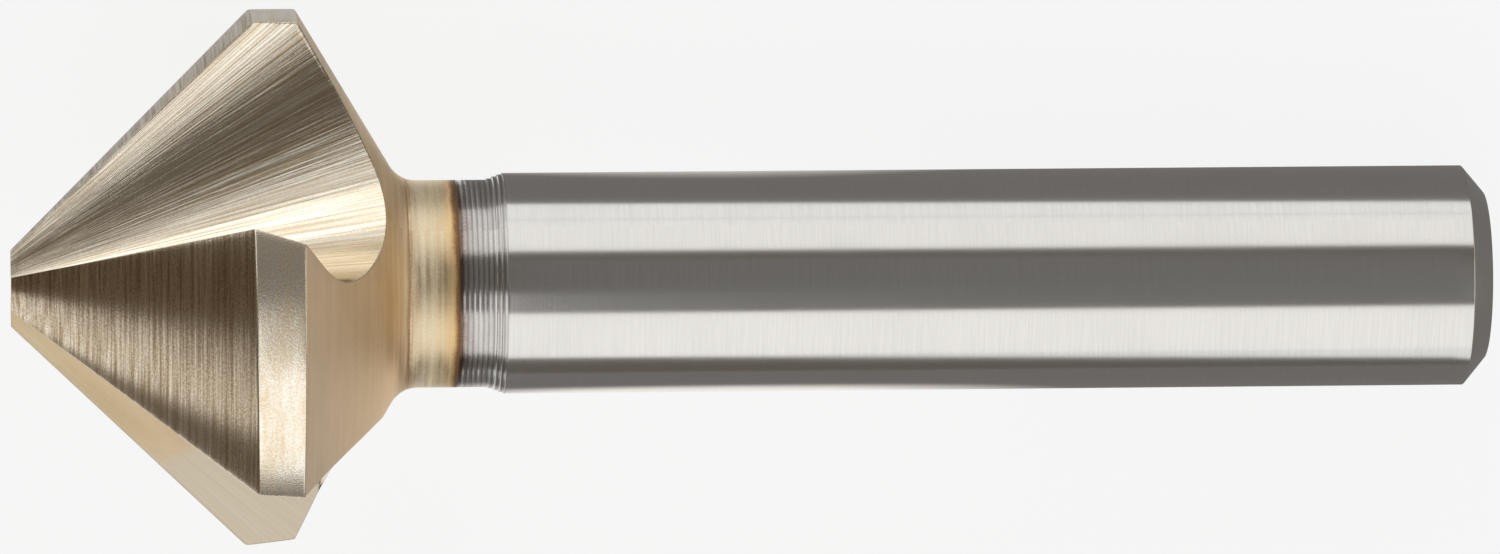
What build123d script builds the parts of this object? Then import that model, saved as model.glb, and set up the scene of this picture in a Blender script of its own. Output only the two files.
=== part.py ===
from build123d import *
import os
from math import atan, atan2, cos, degrees, radians, sin, tan

# A 90 degree countersink bit with three flutes and a plain shank, turned and ground
# from one bar of tool steel. It is drawn on its own axis, with its point at height 0
# and its shank end at the top, and is then laid on its side as it comes to rest.

# Sizes, in millimetres and degrees
overall_length = 67.0
head_diameter = 25.0
point_angle = 90.0  # of the front cone, on which the cutting edges lie
tip_diameter = 3.7  # of the flat at the point, over the cutting edges
margin_length = 2.26  # cylindrical rim behind the front cone
back_slope = 59.2  # between the back of the head and the axis
neck_diameter = 9.4
neck_length = 3.94  # from the back of the head to the shoulder
neck_fillet = 1.4
shoulder_length = 0.8  # ramp from the neck up to the shank
shank_diameter = 10.0  # the shank has what is left of the overall length
chamfer_length = 1.0
chamfer_depth = 1.2

teeth = 3
land_relief = 0.24  # fall of the front cone from a cutting edge to its heel
relief_lead = 60.0  # how far ahead of its cutting edge the axis of a land is shifted

# The flute, in a section across the head where the front cone ends
rake_angle = 17.0  # between the rake face and the radius to the cutting edge
rake_depth = 4.1  # straight part of the rake face
root_radius = 3.9
flute_angle = 62.5  # between the rake face and the far wall
wall_radius = 25.0  # hollow of the far wall, up to the heel of the next tooth
# Every line of a flute runs to one point in front of the tip
focus_lead = 1.85
focus_offset = 0.3

# Lengths and radii that follow
head_radius = head_diameter / 2
tip_radius = tip_diameter / 2
neck_radius = neck_diameter / 2
shank_radius = shank_diameter / 2
cone_slope = tan(radians(point_angle / 2))
cone_length = (head_radius - tip_radius) / cone_slope
margin_end = cone_length + margin_length
neck_start = margin_end + (head_radius - neck_radius) / tan(radians(back_slope))
shank_start = neck_start + neck_length + shoulder_length
chamfer_start = overall_length - chamfer_length
pitch = 360 / teeth
cutter_start = -focus_lead / 2
overrun = head_radius * 0.4  # by which the cutters pass the blank

# The turned blank, with its head still a cylinder in front
with BuildPart() as blank:
    with BuildSketch(Plane.XZ):
        with BuildLine():
            Polyline(
                (0, 0),
                (head_radius, 0),
                (head_radius, margin_end),
                (neck_radius, neck_start),
                (neck_radius, shank_start - shoulder_length),
                (shank_radius, shank_start),
                (shank_radius, chamfer_start),
                (shank_radius - chamfer_depth, overall_length),
                (0, overall_length),
                close=True,
            )
        outline = make_face()
        fillet(outline.vertices().sort_by_distance((neck_radius, neck_start, 0))[0], neck_fillet)
    revolve(axis=Axis.Z)

# What is ground away in front of one land: a sector of stock outside a cone. The axis of
# that cone is shifted off the axis of the tool, so that the land falls towards its heel.
shift = land_relief / (cos(radians(relief_lead)) - cos(radians(relief_lead + pitch / 2)))
shift_across = shift * cos(radians(relief_lead))
shift_ahead = shift * sin(radians(relief_lead))
land_tip_radius = tip_radius - shift_across
with BuildPart() as relief:
    with BuildSketch(Plane.XY.offset(cutter_start)):
        with BuildLine():
            rim = CenterArc((0, 0), head_radius + overrun, -pitch / 4, pitch)
            Line(rim @ 1, (0, 0))
            Line((0, 0), rim @ 0)
        make_face()
    extrude(amount=margin_end - cutter_start)
    with Locations((shift_across, -shift_ahead, cutter_start)):
        Cone(
            land_tip_radius + cutter_start * cone_slope,
            land_tip_radius + margin_end * cone_slope,
            margin_end - cutter_start,
            align=(Align.CENTER, Align.CENTER, Align.MIN),
            mode=Mode.SUBTRACT,
        )

# The space of one flute. Its section is the same shape all along and grows with the
# distance from the focus: a flat rake face, a round root and a hollow far wall.
inwards = (-cos(radians(rake_angle)), sin(radians(rake_angle)))
with BuildPart() as flute:
    for height in (cutter_start, neck_start + neck_fillet):
        growth = (height + focus_lead) / (cone_length + focus_lead)
        edge = Vector((head_radius + focus_offset) * growth - focus_offset, 0)
        with BuildSketch(Plane.XY.offset(height)):
            with BuildLine():
                rake = Line(
                    edge - Vector(inwards) * overrun * growth,
                    edge + Vector(inwards) * rake_depth * growth,
                )
                root = JernArc(rake @ 1, rake % 1, root_radius * growth, 180 - flute_angle)
                wall = JernArc(root @ 1, root % 1, wall_radius * growth, degrees(head_radius / wall_radius))
                Line(wall @ 1, rake @ 0)
            make_face()
    loft(ruled=True)

with BuildPart() as upright:
    add(blank.part)
    with PolarLocations(0, teeth):
        add(relief.part, mode=Mode.SUBTRACT)
        add(flute.part, mode=Mode.SUBTRACT)

# The bit comes to rest over one flute, on two corners of the head's rim and on the end
# of its shank, with its point raised a little.
halfway = radians(-pitch / 2)
edge_corner = upright.vertices().sort_by_distance((head_radius, 0, margin_end))[0]
heel_corner = upright.vertices().sort_by_distance(
    (head_radius * cos(halfway), head_radius * sin(halfway), margin_end)
)[0]
bridge = (Vector(edge_corner) + Vector(heel_corner)) / 2
under = Vector(bridge.X, bridge.Y)
lean = atan((under.length - shank_radius) / (chamfer_start - bridge.Z))
along = Vector(cos(lean), 0, -sin(lean))
down = Vector(-sin(lean), 0, -cos(lean))
across = along.cross(down)
turn = atan2(under.Y, under.X)
lying = Plane(origin=(0, 0, 0), x_dir=down * cos(turn) - across * sin(turn), z_dir=along)
reach = upright.part.moved(Location(lying)).bounding_box()
lying.origin = -Vector(reach.center().X, reach.center().Y, reach.min.Z)

with BuildPart() as countersink_bit:
    with Locations(lying):
        add(upright.part)
countersink_bit.part.label = "countersink_bit"

os.makedirs("parts", exist_ok=True)
export_step(countersink_bit.part, "parts/countersink_bit.step")
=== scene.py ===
import math
import bmesh
import bpy
import numpy as np
from mathutils import Matrix, Vector


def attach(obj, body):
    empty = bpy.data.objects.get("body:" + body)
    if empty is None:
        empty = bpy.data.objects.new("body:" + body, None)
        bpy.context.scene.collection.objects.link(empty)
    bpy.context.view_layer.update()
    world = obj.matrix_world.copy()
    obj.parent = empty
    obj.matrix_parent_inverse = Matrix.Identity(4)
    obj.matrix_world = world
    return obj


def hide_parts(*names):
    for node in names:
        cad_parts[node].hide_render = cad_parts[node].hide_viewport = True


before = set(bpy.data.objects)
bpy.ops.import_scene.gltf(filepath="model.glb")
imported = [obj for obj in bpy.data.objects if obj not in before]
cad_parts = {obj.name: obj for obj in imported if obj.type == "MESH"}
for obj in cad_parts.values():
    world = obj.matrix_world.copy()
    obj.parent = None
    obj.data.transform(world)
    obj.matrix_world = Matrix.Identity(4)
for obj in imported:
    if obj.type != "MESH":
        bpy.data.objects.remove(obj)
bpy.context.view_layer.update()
print("frame loaded")

# The bit, in millimetres and degrees, on its own axis with its point at height 0
bitSizes = {
    "length": 67.0,
    "headDiameter": 25.0,
    "pointAngle": 90.0,
    "tipDiameter": 3.7,
    "marginLength": 2.26,
    "backSlope": 59.2,
    "neckDiameter": 9.4,
    "neckLength": 3.94,
    "neckFillet": 1.4,
    "shoulderLength": 0.8,
    "shoulderRound": 0.3,  # of both its corners
    "shankDiameter": 10.0,
    "chamferLength": 1.0,
    "chamferDepth": 1.2,
    "chamferRound": 0.06,  # of both its corners
    "teeth": 3,
    "landRelief": 0.24,
    "reliefLead": 60.0,
    "rakeAngle": 17.0,
    "rakeDepth": 4.1,
    "rootRadius": 3.9,
    "fluteAngle": 62.5,
    "wallRadius": 25.0,
    "wallLength": 12.5,  # of the wall's arc, to beyond its heel
    "focusLead": 1.85,  # the flutes widen from a focus so far before the point
    "focusOffset": 0.3,  # and so far beside the axis
    "edgeBreak": 0.05,  # width of the broken cutting and heel edges
    "edgeGrowth": 0.4,  # growth of the flute from which they have their full width
    "edgeShare": 0.2,  # and their largest share of a narrow flute
    "cornerSoftness": 0.05,  # of the margin's two corners
    "ringPitch": 0.235,  # turning marks between neck and shank
    "ringDepth": 0.0065,
    "ringVariety": 0.25,  # share of the depth that changes from ring to ring
    "ringBeat": 2.3,  # angle between one ring and the next in that change, in radians
    "ringStart": 20.12,
    "ringEnd": 22.4,
    "ringStep": 0.9,  # how far the rings cut the shoulder's slope into steps
    "ringShallow": 0.6,  # depth of the rings on the shoulder beside that of the others
    "ringShallowLead": 0.1,  # they start so far before it
    "scribe": 17.85,  # height of a fine line where the neck begins
    "scribeDepth": 0.02,
    "scribeWidth": 0.045,
}
# How the bit lies: its point in the row frame, the fall of its axis and its turn about it
bitPlace = {"point": (-33.42187, 0.00103, 12.13631), "lean": 6.13910, "turn": -27.76457}
gridSteps = {
    "land": 40, "flute": 58, "cone": 56, "crease": 9, "margin": 8, "back": 40,
    "arc": 9, "ring": 8, "scribe": 17, "shank": 14,
}
rowSpacing = {
    "creaseReach": 0.34,  # the rows are close so far on each side of a corner
    "creaseEven": 0.35,  # share of their spacing that is even, the rest goes by the cube
    "pullTop": 1.18,  # pull of the slanting corner on its rows, of which no more than 1 counts
    "pullReach": 1.7,  # distance over which that pull falls by 1
    "scribeReach": 0.16,
    "shankMargin": 1,
    "least": 0.004,  # a row nearer than this to the one before it is left out
}
edgeSteps = np.array([0.0, 0.3, 0.5, 0.7])  # columns across a broken edge, as parts of its curve
faceSteps = np.array([1.0, 0.97, 0.8, 0.6, 0.4, 0.2, 0.05, 0.0])  # rings of the end face
millimetre = 0.001

headRadius = bitSizes["headDiameter"] / 2
tipRadius = bitSizes["tipDiameter"] / 2
neckRadius = bitSizes["neckDiameter"] / 2
shankRadius = bitSizes["shankDiameter"] / 2
coneSlope = math.tan(math.radians(bitSizes["pointAngle"] / 2))
backFall = math.tan(math.radians(bitSizes["backSlope"]))
coneLength = (headRadius - tipRadius) / coneSlope
marginEnd = coneLength + bitSizes["marginLength"]
neckStart = marginEnd + (headRadius - neckRadius) / backFall
shoulderStart = neckStart + bitSizes["neckLength"]
shankStart = shoulderStart + bitSizes["shoulderLength"]
pitch = 2 * math.pi / bitSizes["teeth"]
reliefLead = math.radians(bitSizes["reliefLead"])
reliefShift = bitSizes["landRelief"] / (math.cos(reliefLead) - math.cos(reliefLead + pitch / 2))
shiftAcross = reliefShift * math.cos(reliefLead)
shiftAhead = reliefShift * math.sin(reliefLead)
landTipRadius = tipRadius - shiftAcross


# The lesser of a and b, rounded off where they meet: half of a + b - sqrt((a - b)^2 + softness^2).
def softLeast(a, b):
    return (a + b - np.sqrt((a - b) ** 2 + bitSizes["cornerSoftness"] ** 2)) / 2


# Radius of a relieved land at an angle behind its cutting edge: a cone whose axis is shifted, so
# the radius is the shift's part along the angle, plus the root of radius^2 - shift^2 + part^2.
def coneRadius(angle, height):
    part = shiftAcross * np.cos(angle) - shiftAhead * np.sin(angle)
    radius = landTipRadius + height * coneSlope
    return part + np.sqrt(radius**2 - shiftAcross**2 - shiftAhead**2 + part**2)


# Height at which a land's cone reaches the margin: the distance from the shifted axis to the
# margin, less the land's radius at the tip, over the slope.
def creaseHeight(angle):
    x = headRadius * np.cos(angle) - shiftAcross
    y = headRadius * np.sin(angle) + shiftAhead
    return (np.hypot(x, y) - landTipRadius) / coneSlope


# The head outside its flutes: the least of the land's cone, the margin and the back cone, softened.
def outerRadius(angle, height):
    back = headRadius - (height - marginEnd) * backFall
    return softLeast(softLeast(coneRadius(angle, height), headRadius + 0 * height), back)


# The flute's section at the end of the cone: the rake face, the root's arc and the wall's arc
rakeDepth, rootRadius, wallRadius = (bitSizes[k] for k in ("rakeDepth", "rootRadius", "wallRadius"))
rake = math.radians(bitSizes["rakeAngle"])
rakeDirection = np.array([-math.cos(rake), math.sin(rake)])
focusShift = np.array([bitSizes["focusOffset"], 0.0])
rakeEnd = np.array([headRadius + bitSizes["focusOffset"], 0.0]) + rakeDirection * rakeDepth
rootTurn = math.pi - math.radians(bitSizes["fluteAngle"])
rootCentre = rakeEnd + rootRadius * np.array([-rakeDirection[1], rakeDirection[0]])
rootFirst = np.arctan2(-rakeDirection[0], rakeDirection[1])
rootLength = rootRadius * rootTurn
wallHeading = math.pi - rake + rootTurn
wallDirection = np.array([math.cos(wallHeading), math.sin(wallHeading)])
wallStart = rootCentre + rootRadius * np.array([wallDirection[1], -wallDirection[0]])
wallCentre = wallStart + wallRadius * np.array([-wallDirection[1], wallDirection[0]])
wallFirst = np.arctan2(-wallDirection[0], wallDirection[1])
fluteLength = rakeDepth + rootLength + bitSizes["wallLength"]


# Size of the flute's section, from 0 at its focus to 1 at the end of the cone.
def growthAt(height):
    return (height + bitSizes["focusLead"]) / (coneLength + bitSizes["focusLead"])


# Point of a flute at a run along its section: straight down the rake face, round the root's arc,
# then along the wall's arc, all scaled by the growth about the focus.
def fluteSection(run, height):
    onRake = rakeEnd + (run[..., None] - rakeDepth) * rakeDirection
    rootAngle = rootFirst + (run - rakeDepth) / rootRadius
    onRoot = rootCentre + rootRadius * np.stack([np.cos(rootAngle), np.sin(rootAngle)], -1)
    wallAngle = wallFirst + (run - rakeDepth - rootLength) / wallRadius
    onWall = wallCentre + wallRadius * np.stack([np.cos(wallAngle), np.sin(wallAngle)], -1)
    point = np.where((run < rakeDepth)[..., None], onRake, onRoot)
    point = np.where((run > rakeDepth + rootLength)[..., None], onWall, point)
    return point * growthAt(height)[..., None] - focusShift


# Run at which the section comes nearest to the axis, where the root's arc faces it.
def deepestRun(height):
    centre = rootCentre * growthAt(height)[..., None] - focusShift
    facing = np.arctan2(-centre[..., 1], -centre[..., 0])
    return rakeDepth + np.mod(facing - rootFirst, 2 * math.pi) * rootRadius


# Halves the interval from low to high again and again, towards where miss turns from below 0 to
# above it.
def halve(miss, low, high, times=60):
    for _ in range(times):
        middle = (low + high) / 2
        below = miss(middle) < 0
        low = np.where(below, middle, low)
        high = np.where(below, high, middle)
    return (low + high) / 2


# How far a point of the flute's section lies outside the head, measured on the land whose cutting
# edge lies by the angle lead before the flute's own.
def fluteMiss(run, height, lead):
    point = fluteSection(run, height)
    angle = np.arctan2(point[..., 1], point[..., 0])
    return np.hypot(point[..., 0], point[..., 1]) - outerRadius(angle + lead, height)


fluteEnd = float(
    halve(lambda h: fluteMiss(deepestRun(h), h, 0.0), np.array(marginEnd), np.array(neckStart))
)
print("flutes end at", round(fluteEnd, 3), "mm")


# Heights close round a corner, wider apart away from it, by the cube of the step.
def creaseRows(centre, steps):
    t = np.linspace(-1, 1, 2 * steps + 1)
    even = rowSpacing["creaseEven"]
    return centre + rowSpacing["creaseReach"] * (even * t + (1 - even) * t**3)


firstCrease = float(creaseHeight(0.0))
rowsToCrease = creaseRows(firstCrease, gridSteps["crease"])
rowsToBack = creaseRows(marginEnd, gridSteps["crease"])
beforeEnd = np.linspace(0, 1, gridSteps["back"] + 1)[1:]
baseRows = np.concatenate(
    [
        np.linspace(0, rowsToCrease[0], gridSteps["cone"] + 1)[:-1],
        rowsToCrease,
        np.linspace(rowsToCrease[-1], rowsToBack[0], gridSteps["margin"] + 2)[1:-1],
        rowsToBack,
        fluteEnd - (fluteEnd - rowsToBack[-1]) * (1 - beforeEnd) ** 2,
    ]
)
# Rows follow the slanting corner between cone and margin: full shift at it, none far from it
creaseAway = np.abs(baseRows - firstCrease) / rowSpacing["pullReach"]
creasePull = np.clip(rowSpacing["pullTop"] - creaseAway, 0, 1)


# Height of rows at an angle behind the cutting edge: base height plus pull times the corner's rise.
def pulledHeight(base, pull, angle):
    return base + pull * (creaseHeight(angle) - firstCrease)


atDeepest = deepestRun(np.array(fluteEnd))
deepPoint = fluteSection(atDeepest, np.array(fluteEnd))
endAngle = float(np.arctan2(deepPoint[1], deepPoint[0]))

# Both edges are looked for outwards from the flute's deepest line, the heel in rounds, because
# its rows and its angle depend on each other
edgeRows = pulledHeight(baseRows, creasePull, 0.0)
beforeEdge = np.full_like(edgeRows, -6.0)  # a run outside every cutting edge
pastHeel = np.full_like(edgeRows, fluteLength)
edgeRun = halve(lambda run: -fluteMiss(run, edgeRows, 0.0), beforeEdge, deepestRun(edgeRows))
edgePoint = fluteSection(edgeRun, edgeRows)
edgeAngle = np.arctan2(edgePoint[:, 1], edgePoint[:, 0])
heelRows = baseRows.copy()
for _ in range(6):  # enough for the heel to settle
    heelRun = halve(lambda run: fluteMiss(run, heelRows, pitch), deepestRun(heelRows), pastHeel)
    heelPoint = fluteSection(heelRun, heelRows)
    heelAngle = np.arctan2(heelPoint[:, 1], heelPoint[:, 0]) + pitch
    heelRows = pulledHeight(baseRows, creasePull, heelAngle)
edgeRun[-1] = heelRun[-1] = atDeepest
edgeAngle[-1] = endAngle
heelAngle[-1] = endAngle + pitch
edgeRows[-1] = heelRows[-1] = fluteEnd
growth = growthAt(baseRows)
broken = np.minimum(
    bitSizes["edgeBreak"] * np.minimum(1, growth / bitSizes["edgeGrowth"]),
    bitSizes["edgeShare"] * (growth * (heelRun - edgeRun)),
)
print("flute edges found on", len(baseRows), "rows")


# One land, its margin and its back: rows along the bit, columns from cutting edge to heel.
def outerGrid():
    s = np.linspace(0, 1, gridSteps["land"] + 1)
    radius = outerRadius(edgeAngle, edgeRows)
    first = edgeAngle + broken / radius
    last = heelAngle - broken / radius
    angle = first[:, None] + (last - first)[:, None] * s
    height = pulledHeight(baseRows[:, None], creasePull[:, None], angle)
    height[-1] = fluteEnd
    return angle, height, outerRadius(angle, height)


# Points at an angle, a height and a radius: the radius times cosine and sine, and the height.
def polarPoints(angle, height, radius):
    return np.stack([radius * np.cos(angle), radius * np.sin(angle), height], -1)


# A turn about the bit's axis, as the matrix that stands to the right of rows of points.
def axisTurn(angle):
    c, s = math.cos(angle), math.sin(angle)
    return np.array([[c, s, 0], [-s, c, 0], [0, 0, 1]])


# Curve of the second degree from a to c, drawn towards b: (1 - t)^2 a + 2 t (1 - t) b + t^2 c.
def bezier(a, b, c, t):
    return (1 - t) ** 2 * a + 2 * t * (1 - t) * b + t**2 * c


outerAngle, outerHeight, outerR = outerGrid()
outerPoints = polarPoints(outerAngle, outerHeight, outerR)


# One flute: columns from the heel of the land before it to its own cutting edge. The outermost
# columns on each side break the edge by a curve of the second degree from land to flute.
def fluteGrid():
    s = np.linspace(0, 1, gridSteps["flute"] + 1)
    first = heelRun - broken / growth
    last = edgeRun + broken / growth
    run = first[:, None] + (last - first)[:, None] * s
    height = heelRows[:, None] + (edgeRows - heelRows)[:, None] * s
    inner = np.concatenate([fluteSection(run, height), height[..., None]], -1)
    heelCorner = np.concatenate([heelPoint, heelRows[:, None]], -1)
    edgeCorner = np.concatenate([edgePoint, edgeRows[:, None]], -1)
    fromLand = outerPoints[:, -1] @ axisTurn(pitch).T
    toLand = outerPoints[:, 0]
    t = edgeSteps[None, :, None]
    heelStrip = bezier(fromLand[:, None], heelCorner[:, None], inner[:, :1], t)
    edgeStrip = bezier(toLand[:, None], edgeCorner[:, None], inner[:, -1:], t)[:, ::-1]
    points = np.concatenate([heelStrip, inner, edgeStrip], 1)
    heelRuns, edgeRuns = (np.repeat(r[:, None], len(edgeSteps), 1) for r in (heelRun, edgeRun))
    return points, np.concatenate([heelRuns, run, edgeRuns], 1)


flutePoints, fluteRuns = fluteGrid()
lastPoint = np.array([*deepPoint, fluteEnd])  # where a flute runs out between two lands
flutePoints[-1] = outerPoints[-1, 0] = lastPoint
outerPoints[-1, -1] = lastPoint @ axisTurn(pitch)


# A line of straight runs with an arc at each inner corner: the arc's centre lies on the corner's
# bisector at round / sin(half the corner), and the arc sweeps between the two runs' normals.
def roundedProfile(corners, rounds, steps):
    p = np.array(corners, float)
    before = p[:-2] - p[1:-1]
    after = p[2:] - p[1:-1]
    before /= np.linalg.norm(before, axis=1)[:, None]
    after /= np.linalg.norm(after, axis=1)[:, None]
    middle = before + after
    middle /= np.linalg.norm(middle, axis=1)[:, None]
    half = np.arccos(np.clip(np.sum(before * middle, 1), -1, 1))
    rounds = np.array(rounds, float)
    centre = p[1:-1] + middle * (rounds / np.sin(half))[:, None]
    start = p[1:-1] + before * (rounds / np.tan(half))[:, None] - centre
    end = p[1:-1] + after * (rounds / np.tan(half))[:, None] - centre
    a0 = np.arctan2(start[:, 1], start[:, 0])
    sweep = np.arctan2(start[:, 0] * end[:, 1] - start[:, 1] * end[:, 0], np.sum(start * end, 1))
    a = a0[:, None] + sweep[:, None] * np.linspace(0, 1, steps)
    arcs = centre[:, None] + rounds[:, None, None] * np.stack([np.cos(a), np.sin(a)], -1)
    return np.concatenate([p[:1], arcs.reshape(-1, 2), p[-1:]])


chamferStart = bitSizes["length"] - bitSizes["chamferLength"]
faceRadius = shankRadius - bitSizes["chamferDepth"]
turned = roundedProfile(
    [
        (fluteEnd, float(outerR[-1, 0])),
        (neckStart, neckRadius),
        (shoulderStart, neckRadius),
        (shankStart, shankRadius),
        (chamferStart, shankRadius),
        (bitSizes["length"], faceRadius),
        (bitSizes["length"], 0.0),
    ],
    [bitSizes["neckFillet"], *[bitSizes["shoulderRound"]] * 2, *[bitSizes["chamferRound"]] * 2],
    gridSteps["arc"],
)
turned = turned[:-1]  # the end face follows on its own
ringStart, ringEnd, ringPitch = (bitSizes[k] for k in ("ringStart", "ringEnd", "ringPitch"))
ringRows = np.arange(ringStart, ringEnd, ringPitch / gridSteps["ring"])
scribe, scribeReach = bitSizes["scribe"], rowSpacing["scribeReach"]
scribeRows = np.linspace(scribe - scribeReach, scribe + scribeReach, gridSteps["scribe"])
shankMargin = rowSpacing["shankMargin"]
shankRows = np.linspace(shankStart + shankMargin, chamferStart - shankMargin, gridSteps["shank"])
turnedRows = np.unique(np.round(np.concatenate([turned[:, 0], ringRows, scribeRows, shankRows]), 6))
turnedRows = turnedRows[np.concatenate([[True], np.diff(turnedRows) > rowSpacing["least"]])]
turnedRadius = np.interp(turnedRows, turned[:, 0], turned[:, 1])
# On the shoulder each ring is a step: its radius lies near the profile's at the middle of the ring
ringPhase = (turnedRows - ringStart) / ringPitch
ringWindow = (turnedRows > ringStart) & (turnedRows < ringEnd)
ringMiddle = ringStart + (np.floor(ringPhase) + 0.5) * ringPitch
stepRadius = np.interp(ringMiddle, turned[:, 0], turned[:, 1])
turnedRadius = turnedRadius + ringWindow * bitSizes["ringStep"] * (stepRadius - turnedRadius)
# Each ring is a cosine dip whose depth changes from ring to ring, and is less on the shoulder
variety = bitSizes["ringVariety"]
ringShare = 1 - variety + variety * np.cos(bitSizes["ringBeat"] * np.floor(ringPhase))
onShoulder = turnedRows > shoulderStart - bitSizes["ringShallowLead"]
ringShare = np.where(onShoulder, bitSizes["ringShallow"] * ringShare, ringShare)
ringDip = 0.5 - 0.5 * np.cos(2 * math.pi * ringPhase)
turnedRadius = turnedRadius - ringWindow * bitSizes["ringDepth"] * ringShare * ringDip
# The scribed line is a bell-shaped dip
scribeAway = (turnedRows - scribe) / bitSizes["scribeWidth"]
turnedRadius = turnedRadius - bitSizes["scribeDepth"] * np.exp(-(scribeAway**2))


# One tooth's part of the turned rear: the profile's radius carried round the axis from the end of
# its flute.
def turnedGrid():
    s = np.linspace(0, 1, gridSteps["land"] + 1)
    angle = endAngle + pitch * s
    height = turnedRows[:, None] + 0 * angle
    return angle, height, polarPoints(angle[None, :], height, turnedRadius[:, None])


# One tooth's part of the end face: rings that shrink to the axis.
def faceGrid():
    s = np.linspace(0, 1, gridSteps["land"] + 1)
    angle = endAngle + pitch * s
    radius = turnedRadius[-1] * faceSteps
    height = np.full((len(radius), len(s)), turnedRows[-1])
    return polarPoints(angle[None, :], height, radius[:, None])


turnedAngle, turnedHeight, turnedPoints = turnedGrid()
turnedPoints[0] = outerPoints[-1]
facePoints = faceGrid()
facePoints[0] = turnedPoints[-1]
print("surfaces worked out")


# The axes and the origin that take the bit's own frame in millimetres to the row frame in metres.
def worldMatrix():
    lean = math.radians(bitPlace["lean"])
    turn = math.radians(bitPlace["turn"])
    along = Vector((math.cos(lean), 0, -math.sin(lean)))
    down = Vector((-math.sin(lean), 0, -math.cos(lean)))
    x = down * math.cos(turn) - along.cross(down) * math.sin(turn)
    y = along.cross(x)
    axes = Matrix((x, y, along)).transposed()
    return np.array(axes) * millimetre, np.array(bitPlace["point"]) * millimetre


# Corners of the quads of a grid, counted along its rows.
def gridFaces(rows, columns, offset):
    i, j = np.meshgrid(np.arange(rows - 1), np.arange(columns - 1), indexing="ij")
    first = offset + i * columns + j
    return np.stack([first, first + 1, first + columns + 1, first + columns], -1).reshape(-1, 4)


meshSetup = {
    "markShift": 40.0,  # each tooth's marks start so many millimetres on, so that no two are alike
    "merge": 2e-7,  # metres
    "sharpAngle": 32,  # degrees
}


# The four grids, each with its place across and along the grinding marks in millimetres, and the
# finish of its rows: a row has the first finish whose end it lies before.
def bitGrids():
    outerMap = np.stack([outerHeight, outerAngle * headRadius], -1)
    fluteMap = np.stack(np.broadcast_arrays(fluteRuns, growth[:, None] * headRadius), -1)
    turnedMap = np.stack(np.broadcast_arrays(turnedHeight, turnedAngle * shankRadius), -1)
    faceMap = np.stack([np.hypot(facePoints[..., 0], facePoints[..., 1]), facePoints[..., 0]], -1)
    creaseRow = gridSteps["cone"] + gridSteps["crease"]
    backRow = creaseRow + 2 * gridSteps["crease"] + gridSteps["margin"] + 1
    ringRow, shankRow = (int(np.searchsorted(turnedRows, h)) for h in (ringStart, shankStart))
    end = math.inf
    return (
        (outerPoints, outerMap, [(creaseRow, "land"), (backRow, "margin"), (end, "head")]),
        (flutePoints, fluteMap, [(end, "flute")]),
        (turnedPoints, turnedMap, [(ringRow, "head"), (shankRow, "neck"), (end, "shank")]),
        (facePoints, faceMap, [(end, "shank")]),
    )


# A new object for some data, in the scene.
def linked(name, data):
    thing = bpy.data.objects.new(name, data)
    bpy.context.scene.collection.objects.link(thing)
    return thing


# Joins the grids of all teeth into one closed mesh, and keeps the place of the marks as its map.
def buildBit(materials):
    blocks = []
    for points, uv, spans in bitGrids():
        for tooth in range(bitSizes["teeth"]):
            shift = np.array([0, meshSetup["markShift"] * tooth])
            blocks.append((points @ axisTurn(pitch * tooth), uv + shift, spans))
    axes, origin = worldMatrix()
    vertices, faces, maps, finishes = [], [], [], []
    offset = 0
    names = list(materials)
    for points, uv, spans in blocks:
        rows, columns = points.shape[:2]
        vertices.append(points.reshape(-1, 3) @ axes.T + origin)
        faces.append(gridFaces(rows, columns, offset))
        maps.append(uv.reshape(-1, 2))
        row = np.repeat(np.arange(rows - 1), columns - 1)
        finish = np.zeros(len(row), int)
        start = 0
        for end, name in spans:
            finish[(row >= start) & (row < end)] = names.index(name)
            start = end
        finishes.append(finish)
        offset += rows * columns
    vertices, faces = np.concatenate(vertices), np.concatenate(faces)
    maps, finishes = np.concatenate(maps), np.concatenate(finishes)
    mesh = bpy.data.meshes.new("groundBit")
    mesh.from_pydata(vertices, [], faces.tolist())
    layer = mesh.uv_layers.new(name="marks")
    layer.uv.foreach_set("vector", maps[faces.ravel()].astype(np.float32).ravel())
    mesh.polygons.foreach_set("material_index", finishes.astype(np.int32))
    for material in materials.values():
        mesh.materials.append(material)
    bm = bmesh.new()
    bm.from_mesh(mesh)
    bmesh.ops.remove_doubles(bm, verts=bm.verts, dist=meshSetup["merge"])
    rim = [e for e in bm.edges if len(e.link_faces) == 1]
    tipFaces = bmesh.ops.holes_fill(bm, edges=rim, sides=0)["faces"]
    for face in tipFaces:
        face.material_index = names.index("land")
    bmesh.ops.recalc_face_normals(bm, faces=bm.faces)
    openEdges = [e for e in bm.edges if len(e.link_faces) != 2]
    print("tip closed with", len(tipFaces), "faces, open edges left:", len(openEdges))
    bm.to_mesh(mesh)
    bm.free()
    mesh.polygons.foreach_set("use_smooth", np.ones(len(mesh.polygons), bool))
    mesh.set_sharp_from_angle(angle=math.radians(meshSetup["sharpAngle"]))
    return linked("groundBit", mesh)


markNoise = {
    "fine": (3, 3.1),  # detail and shift of the fine streaks
    "broad": (2, 17.7),  # and of the broad ones
    "alongShift": 0.7,  # shift along the marks, as a share of that across them
    "roughness": 0.62,
    "grainDetail": 2,
    "reach": 0.14,  # the mixed signal runs from dark to light within so much of its middle
}


# A new material with its nodes and its main shader.
def newMaterial(name):
    material = bpy.data.materials.new(name)
    material.use_nodes = True
    return material, material.node_tree, material.node_tree.nodes["Principled BSDF"]


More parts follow.
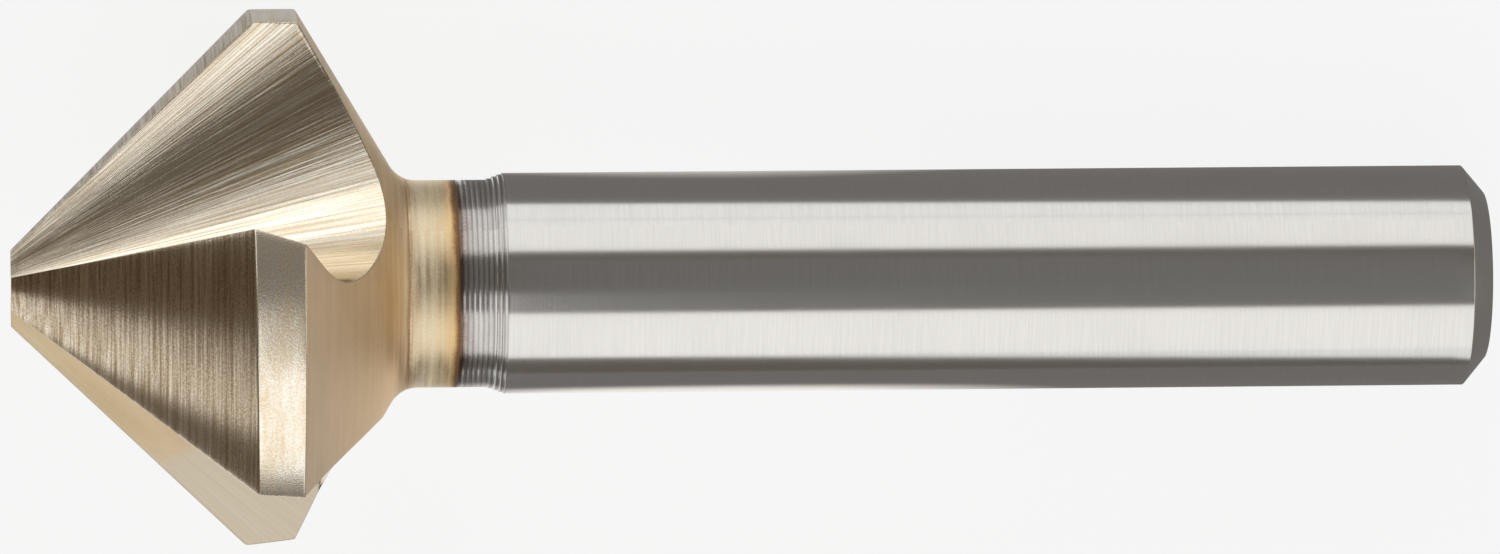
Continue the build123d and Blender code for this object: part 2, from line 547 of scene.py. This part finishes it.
# A noise stretched along the grinding marks: so many waves to the millimetre across and along them.
def marksNoise(tree, across, along, detail, shift):
    place = tree.nodes.new("ShaderNodeUVMap")
    place.uv_map = "marks"
    stretch = tree.nodes.new("ShaderNodeMapping")
    stretch.inputs["Location"].default_value = (shift, shift * markNoise["alongShift"], 0)
    stretch.inputs["Scale"].default_value = (across, along, 1)
    noise = tree.nodes.new("ShaderNodeTexNoise")
    noise.noise_dimensions = "2D"
    noise.inputs["Scale"].default_value = 1
    noise.inputs["Detail"].default_value = detail
    noise.inputs["Roughness"].default_value = markNoise["roughness"]
    tree.links.new(place.outputs["UV"], stretch.inputs["Vector"])
    tree.links.new(stretch.outputs["Vector"], noise.inputs["Vector"])
    return noise.outputs["Fac"]


# An even grain of the given size in millimetres.
def speckle(tree, size):
    place = tree.nodes.new("ShaderNodeTexCoord")
    noise = tree.nodes.new("ShaderNodeTexNoise")
    noise.inputs["Scale"].default_value = 1000 / size  # waves to the metre
    noise.inputs["Detail"].default_value = markNoise["grainDetail"]
    tree.links.new(place.outputs["Object"], noise.inputs["Vector"])
    return noise.outputs["Fac"]


# The sum of several signals, each by its share.
def blendOf(tree, parts):
    total = None
    for signal, share in parts:
        step = tree.nodes.new("ShaderNodeMath")
        step.operation = "MULTIPLY_ADD"
        step.inputs[1].default_value = share
        step.inputs[2].default_value = 0
        tree.links.new(signal, step.inputs[0])
        if total is not None:
            tree.links.new(total, step.inputs[2])
        total = step.outputs["Value"]
    return total


# A signal carried from one range to another, and held at the ends of it.
def ranged(tree, signal, fromLow, fromHigh, toLow, toHigh):
    step = tree.nodes.new("ShaderNodeMapRange")
    step.inputs["From Min"].default_value = fromLow
    step.inputs["From Max"].default_value = fromHigh
    step.inputs["To Min"].default_value = toLow
    step.inputs["To Max"].default_value = toHigh
    tree.links.new(signal, step.inputs["Value"])
    return step.outputs["Result"]


# A colour for each value of a signal from 0 to 1, between stops of a place and a colour.
def ramp(tree, signal, stops):
    node = tree.nodes.new("ShaderNodeValToRGB")
    band = node.color_ramp
    while len(band.elements) < len(stops):
        band.elements.new(0.5)
    for element, (place, colour) in zip(band.elements, stops):
        element.position = place
        element.color = (*colour, 1)
    tree.links.new(signal, node.inputs["Fac"])
    return node.outputs["Color"]


# Place across the marks in millimetres, from the piece's own map.
def marksPlace(tree):
    place = tree.nodes.new("ShaderNodeUVMap")
    place.uv_map = "marks"
    parts = tree.nodes.new("ShaderNodeSeparateXYZ")
    tree.links.new(place.outputs["UV"], parts.inputs["Vector"])
    return parts.outputs["X"]


# The product of two signals.
def product(tree, first, second):
    step = tree.nodes.new("ShaderNodeMath")
    step.operation = "MULTIPLY"
    tree.links.new(first, step.inputs[0])
    tree.links.new(second, step.inputs[1])
    return step.outputs["Value"]


# The product of two colours.
def multiplied(tree, first, second):
    mix = tree.nodes.new("ShaderNodeMix")
    mix.data_type = "RGBA"
    mix.blend_type = "MULTIPLY"
    mix.inputs["Factor"].default_value = 1
    tree.links.new(first, mix.inputs[6])  # 6, 7 and 2 are its colour sockets
    tree.links.new(second, mix.inputs[7])
    return mix.outputs[2]


# Ground steel: streaks and grain move its colour between two tints, and its roughness and height.
# "calm" is a run across the marks, from a place where the streaks have only a share of their
# strength and the tint is shifted, to one where both are as elsewhere. "bands" tints the steel by
# height, and "rings" paints shade into the hollows of the turning marks by a cosine of the height.
def steel(name, values):
    material, tree, shader = newMaterial(name)
    shader.inputs["Metallic"].default_value = 1
    fine = marksNoise(tree, values["fineAcross"], values["fineAlong"], *markNoise["fine"])
    broad = marksNoise(tree, values["broadAcross"], values["broadAlong"], *markNoise["broad"])
    grain = speckle(tree, values["grainSize"])
    signals = (fine, "Fine"), (broad, "Broad"), (grain, "Grain")
    mixed = blendOf(tree, [(signal, values["mix" + kind]) for signal, kind in signals])
    half = 0.5 * (values["mixFine"] + values["mixBroad"] + values["mixGrain"])
    reach = markNoise["reach"]
    spread = ranged(tree, mixed, half - reach, half + reach, -0.5, 0.5)
    height = blendOf(tree, [(signal, values["bump" + kind]) for signal, kind in signals])
    if "calm" in values:
        low, high, share, shift = values["calm"]
        fade = ranged(tree, marksPlace(tree), low, high, share, 1)
        shifted = ranged(tree, marksPlace(tree), low, high, shift, 0)
        spread = blendOf(tree, [(product(tree, spread, fade), 1), (shifted, 1)])
        height = product(tree, height, fade)
    tints = [(0, values["dark"]), (1, values["light"])]
    shade = ramp(tree, ranged(tree, spread, -0.5, 0.5, 0, 1), tints)
    if "bands" in values:
        bandWander, bandGrain = values["bandWander"], values["bandGrain"]
        wander = blendOf(tree, [(marksPlace(tree), 1.0), (broad, bandWander), (grain, bandGrain)])
        low, high = values["bandRange"]
        shift = 0.5 * (bandWander + bandGrain)
        bandPlace = ranged(tree, wander, low + shift, high + shift, 0, 1)
        tint = ramp(tree, bandPlace, [((h - low) / (high - low), c) for h, c in values["bands"]])
        shade = multiplied(tree, tint, shade)
    # Painted shade: the colour darkens towards the bottom of each hollow of the turning marks
    if "rings" in values:
        wave = tree.nodes.new("ShaderNodeMath")
        wave.operation = "COSINE"
        span = 4  # millimetres, to beyond the last ring
        angle = 2 * math.pi / ringPitch * span
        tree.links.new(
            ranged(tree, marksPlace(tree), ringStart, ringStart + span, 0, angle), wave.inputs[0]
        )
        paintedHollowShade = ramp(tree, ranged(tree, wave.outputs["Value"], -1, 1, 0, 1), values["rings"])
        shade = multiplied(tree, paintedHollowShade, shade)
    tree.links.new(shade, shader.inputs["Base Color"])
    rough = ranged(tree, spread, -0.5, 0.5, *values["roughness"])
    tree.links.new(rough, shader.inputs["Roughness"])
    bump = tree.nodes.new("ShaderNodeBump")
    bump.inputs["Strength"].default_value = 1
    bump.inputs["Distance"].default_value = values["bump"] * millimetre
    tree.links.new(height, bump.inputs["Height"])
    tree.links.new(bump.outputs["Normal"], shader.inputs["Normal"])
    return material


landFinish = {  # ground round the axis
    "fineAcross": 7.5, "fineAlong": 0.1, "broadAcross": 1.6, "broadAlong": 0.06, "grainSize": 0.08,
    "mixFine": 0.55, "mixBroad": 0.2, "mixGrain": 0.4,
    "dark": (0.38, 0.26, 0.14), "light": (0.96, 0.85, 0.68), "roughness": (0.26, 0.19),
    "bump": 0.009, "bumpFine": 0.5, "bumpBroad": 0.2, "bumpGrain": 0.4,
}
fluteFinish = {  # ground from the point outwards, smoother on the rake face
    "fineAcross": 9.0, "fineAlong": 0.1, "broadAcross": 1.6, "broadAlong": 0.05, "grainSize": 0.1,
    "mixFine": 0.7, "mixBroad": 0.12, "mixGrain": 0.15,
    "dark": (0.56, 0.44, 0.29), "light": (1.0, 0.96, 0.84), "roughness": (0.15, 0.1),
    "bump": 0.0095, "bumpFine": 0.7, "bumpBroad": 0.12, "bumpGrain": 0.06,
    "calm": (4.6, 11.5, 0.12, -0.12),  # start and end in millimetres, share and shift at its start
}
marginFinish = {  # the rim, finely pitted
    "fineAcross": 3.0, "fineAlong": 0.3, "broadAcross": 0.6, "broadAlong": 0.25, "grainSize": 0.09,
    "mixFine": 0.4, "mixBroad": 0.3, "mixGrain": 0.55,
    "dark": (0.84, 0.69, 0.49), "light": (1.0, 0.97, 0.87), "roughness": (0.3, 0.22),
    "bump": 0.007, "bumpFine": 0.3, "bumpBroad": 0.1, "bumpGrain": 0.8,
}
headFinish = {  # turned, with the tints that heat left on the neck
    "fineAcross": 5.0, "fineAlong": 0.05, "broadAcross": 1.0, "broadAlong": 0.25, "grainSize": 0.1,
    "mixFine": 0.5, "mixBroad": 0.3, "mixGrain": 0.2,
    "dark": (0.7, 0.6, 0.48), "light": (1.0, 1.0, 1.0), "roughness": (0.34, 0.58),
    "bump": 0.009, "bumpFine": 0.4, "bumpBroad": 0.1, "bumpGrain": 0.5,
    "calm": (16.6, 18.2, 0.35, 0.3),
    "bandWander": 0.38, "bandGrain": 0.2, "bandRange": (10.0, 24.0),
    "bands": [
        (13.2, (0.98, 0.83, 0.64)),
        (16.4, (0.96, 0.77, 0.52)),
        (16.9, (1.0, 0.8, 0.54)),
        (17.75, (1.0, 0.8, 0.54)),
        (17.85, (0.64, 0.46, 0.29)),
        (17.95, (0.98, 0.81, 0.56)),
        (18.3, (1.0, 0.91, 0.71)),
        (19.4, (1.0, 0.88, 0.63)),
        (19.77, (1.0, 0.76, 0.43)),
        (19.97, (0.34, 0.18, 0.08)),
        (20.14, (0.2, 0.13, 0.09)),
        (20.38, (0.55, 0.5, 0.48)),
        (20.9, (0.72, 0.71, 0.7)),
    ],
}
neckFinish = dict(headFinish)  # the ringed end of the neck, brighter than the head
del neckFinish["calm"]
neckFinish.update({
    "dark": (0.74, 0.72, 0.7), "roughness": (0.24, 0.16), "bump": 0.004,
    # painted shade in the hollows of the turning marks
    "rings": [(0, (0.62, 0.6, 0.59)), (0.5, (0.92, 0.92, 0.92)), (1, (1, 1, 1))],
})
shankFinish = {  # ground round
    "fineAcross": 12.0, "fineAlong": 0.3, "broadAcross": 0.2, "broadAlong": 0.2, "grainSize": 0.1,
    "mixFine": 0.5, "mixBroad": 0.3, "mixGrain": 0.2,
    "dark": (0.71, 0.7, 0.68), "light": (0.76, 0.75, 0.73), "roughness": (0.17, 0.14),
    "bump": 0.0012, "bumpFine": 0.5, "bumpBroad": 0.2, "bumpGrain": 0.5,
}
materials = {
    "land": steel("landSteel", landFinish),
    "flute": steel("fluteSteel", fluteFinish),
    "margin": steel("marginSteel", marginFinish),
    "head": steel("headSteel", headFinish),
    "neck": steel("neckSteel", neckFinish),
    "shank": steel("shankSteel", shankFinish),
}
groundBit = buildBit(materials)
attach(groundBit, "root")
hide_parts("countersink_bit")
print("bit built with", len(groundBit.data.polygons), "faces")

# The floor and the light
studio = {
    "floorRings": (0.0, 0.02, 0.1, 0.3, 0.6, 0.9, 1.2, 1.5, 1.8, 2.1),  # radii in metres
    "floorSides": 96,
    "floorColour": (0.8, 0.8, 0.8),
    "floorRoughness": 0.9,
    "floorWhite": 0.86,  # share of plain white in what the camera sees of it
    "floorGlow": 1.0,  # and in what polished metal sees of it
    "worldColour": (0.133, 0.117, 0.099),
    "middle": (0, 0, 0.008),  # what the lamps stand round and point at
}


# A flat round floor in rings that widen outwards.
def buildFloor():
    r = np.array(studio["floorRings"])
    a = np.linspace(0, 2 * math.pi, studio["floorSides"] + 1)[:-1]
    points = polarPoints(a, np.zeros((len(r), len(a))), r[:, None])
    i, j = np.meshgrid(np.arange(len(r) - 1), np.arange(len(a)), indexing="ij")
    k = (j + 1) % len(a)
    ring, nextRing = i * len(a), (i + 1) * len(a)
    faces = np.stack([ring + j, nextRing + j, nextRing + k, ring + k], -1)
    mesh = bpy.data.meshes.new("floor")
    mesh.from_pydata(points.reshape(-1, 3), [], faces.reshape(-1, 4).tolist())
    bm = bmesh.new()
    bm.from_mesh(mesh)
    bmesh.ops.remove_doubles(bm, verts=bm.verts, dist=meshSetup["merge"])
    bm.to_mesh(mesh)
    bm.free()
    floor = linked("floor", mesh)
    material, tree, shader = newMaterial("floorPaper")
    shader.inputs["Base Color"].default_value = (*studio["floorColour"], 1)
    shader.inputs["Roughness"].default_value = studio["floorRoughness"]
    paths = tree.nodes.new("ShaderNodeLightPath")
    white = tree.nodes.new("ShaderNodeEmission")
    mix = tree.nodes.new("ShaderNodeMixShader")
    rays = ("Camera", "floorWhite"), ("Glossy", "floorGlow"), ("Transmission", "floorWhite")
    seen = blendOf(tree, [(paths.outputs[f"Is {ray} Ray"], studio[share]) for ray, share in rays])
    tree.links.new(seen, mix.inputs["Fac"])
    tree.links.new(shader.outputs["BSDF"], mix.inputs[1])
    tree.links.new(white.outputs["Emission"], mix.inputs[2])
    tree.links.new(mix.outputs["Shader"], tree.nodes["Material Output"].inputs["Surface"])
    mesh.materials.append(material)


# A rectangular lamp whose face has the given brightness: power is level times pi times area.
def softbox(name, place, aim, width, height, level):
    lamp = bpy.data.lights.new(name, "AREA")
    lamp.shape = "RECTANGLE"
    lamp.size = width
    lamp.size_y = height
    lamp.energy = level * math.pi * width * height
    holder = linked(name, lamp)
    holder.location = place
    away = (place - aim).normalized()
    side = (Vector((1, 0, 0)) - away * away.x).normalized()
    holder.rotation_euler = Matrix((side, away.cross(side), away)).transposed().to_euler()
    holder.visible_camera = False


# A flat card that only polished metal sees: a painted reflection or painted shade, glowing though
# it is no lamp. It glows evenly, or has a brighter spot, a painted highlight, whose glow falls in
# step with the distance from its centre, from the inner radius to the outer.
def paintedReflectionCard(name, corners, level, tint, spot):
    mesh = bpy.data.meshes.new(name)
    mesh.from_pydata(corners, [], [range(len(corners))])
    card = linked(name, mesh)
    material, tree, shader = newMaterial(name)
    shader.inputs["Base Color"].default_value = (0, 0, 0, 1)
    shader.inputs["Specular IOR Level"].default_value = 0
    shader.inputs["Emission Color"].default_value = (*tint, 1)
    shader.inputs["Emission Strength"].default_value = level
    if spot:
        centre, inner, outer, peak = spot
        place = tree.nodes.new("ShaderNodeTexCoord")
        away = tree.nodes.new("ShaderNodeVectorMath")
        away.operation = "DISTANCE"
        away.inputs[1].default_value = centre
        tree.links.new(place.outputs["Object"], away.inputs[0])
        fall = ranged(tree, away.outputs["Value"], inner, outer, peak, level)
        tree.links.new(fall, shader.inputs["Emission Strength"])
    mesh.materials.append(material)
    card.visible_camera = card.visible_diffuse = False
    card.visible_shadow = card.visible_transmission = False


boxes = {  # direction from the bit, distance, width, height and brightness of each lamp
    "upperBox": ((0.0, -0.616, 0.788), 0.4, 0.60, 0.40, 0.95),
    "topBox": ((-0.042, -0.02, 0.999), 0.42, 0.11, 0.16, 0.98),
    "frontBox": ((0.11, 0.94, 0.314), 0.42, 0.26, 0.27, 0.9),
    "leftFrontBox": ((-0.5, 0.81, 0.305), 0.42, 0.32, 0.32, 1.24),
    "sideBox": ((-0.42, 0.48, 0.77), 0.45, 0.18, 0.17, 0.68),
    "rightBox": ((0.68, 0.2, 0.70), 0.45, 0.30, 0.32, 0.67),
    "tipBox": ((-0.9, -0.42, 0.12), 0.4, 0.175, 0.09, 0.6),
}
# Painted reflections and painted shade: cards that only polished metal sees, glowing though they
# are no lamps
paintedCards = {  # glow, tint and corners, in millimetres, of the cards round and under the bit
    # Painted shade: a dark card on the floor under and beside the shank, standing in for its shadow
    # in reflections
    "shankPaintedShade": (
        0.19,
        (1, 0.95, 0.91),
        [(-13.7, -1500, 0.4), (300, -1500, 0.4), (300, 12, 0.4), (-13.7, 33, 0.4)],
    ),
    # Painted shade: a dark card high over the bit, seen only in reflections
    "overPaintedShade": (
        0.18,
        (1, 0.96, 0.93),
        [(36, -45, 360), (150, -45, 360), (150, 345, 360), (36, 345, 360)],
    ),
    # Painted shade: a darker card on the floor under and before the head, standing in for its
    # shadow in reflections
    "headPaintedShade": (
        0.46,
        (1, 1, 1),
        [
            (-13.7, 7, 0.3), (-13.7, 33, 0.3), (-40, 33, 0.3),
            (-40, -2, 0.3), (-22, -2, 0.3), (-22, 7, 0.3),
        ],
    ),
    # Painted shade: a darker card on the floor beside the neck, seen only in reflections
    "neckPaintedShade": (
        0.5,
        (1, 1, 1),
        [(-17, -60, 0.3), (-13.7, -60, 0.3), (-13.7, -17, 0.3), (-17, -17, 0.3)],
    ),
    # Painted shade: dark warm cards beyond the point, seen only in the lands' reflections
    "tipPaintedShade": (
        0.1,
        (1, 0.75, 0.5),
        [(-60, -6, 0.4), (-60, 12, 0.4), (-60, 12, 34), (-60, -6, 34)],
    ),
    "heelPaintedShade": (
        0.12,
        (1, 0.8, 0.6),
        [(-60, -70, 0.4), (-60, -27.5, 0.4), (-60, -27.5, 34), (-60, -70, 34)],
    ),
    # Painted reflection: a warm card on the floor before the head, seen only in the metal
    "frontPaintedReflection": (
        0.75,
        (1, 0.88, 0.7),
        [(-60, 33, 0.3), (-22, 33, 0.3), (-22, 50, 0.3), (-60, 50, 0.3)],
    ),
    # Painted reflection: a warm card standing beyond the shank's end, seen only in the metal
    "backPaintedReflection": (
        0.6,
        (1, 0.88, 0.7),
        [(70, -70, 0.5), (70, 60, 0.5), (70, 60, 45), (70, -70, 45)],
    ),
    # Painted reflection: a bright card far behind, seen only in the metal
    "endPaintedReflection": (
        0.95,
        (1, 1, 1),
        [(45, -404, 198), (300, -404, 198), (300, -404, 60), (118, -404, 60)],
    ),
}
# Painted highlight: a brighter spot within the painted shade of the shank's card
paintedHighlightSpots = {  # centre, inner and outer radius, in metres, and glow of a card's brighter spot
    "shankPaintedShade": ((-0.002, -0.0085, 0.0004), 0.008, 0.017, 1.0),
}


# The world, the floor, the lamps, and the cards of painted reflection and painted shade.
def buildStudio():
    world = bpy.data.worlds.new("studio")
    world.use_nodes = True
    world.node_tree.nodes["Background"].inputs["Color"].default_value = (*studio["worldColour"], 1)
    bpy.context.scene.world = world
    buildFloor()
    middle = Vector(studio["middle"])
    for name, (way, distance, width, height, level) in boxes.items():
        place = Vector(way).normalized() * distance + middle
        softbox(name, place, middle, width, height, level)
    for name, (glow, tint, corners) in paintedCards.items():
        paintedReflectionCard(name, (np.array(corners) * millimetre).tolist(), glow, tint, paintedHighlightSpots.get(name))


cameraSetup = {
    "place": (0.014576, 0.193960, 0.526564),
    "aim": (-0.00012117, -0.00000955, 0.008),
    "roll": -174.28371,
    "lens": 292.486,
    "sensor": 36,
    "clip": (0.05, 20),
}


# The camera looks from its place at its aim, and is rolled about that line.
def buildCamera():
    data = bpy.data.cameras.new("camera")
    data.lens = cameraSetup["lens"]
    data.sensor_width = cameraSetup["sensor"]
    data.clip_start, data.clip_end = cameraSetup["clip"]
    camera = linked("camera", data)
    camera.location = cameraSetup["place"]
    look = (Vector(cameraSetup["aim"]) - camera.location).to_track_quat("-Z", "Y").to_matrix()
    look = look @ Matrix.Rotation(math.radians(cameraSetup["roll"]), 3, "Z")
    camera.rotation_euler = look.to_euler()
    bpy.context.scene.camera = camera


buildStudio()
buildCamera()
bpy.context.scene.view_settings.view_transform = "Standard"
print("studio and camera set")
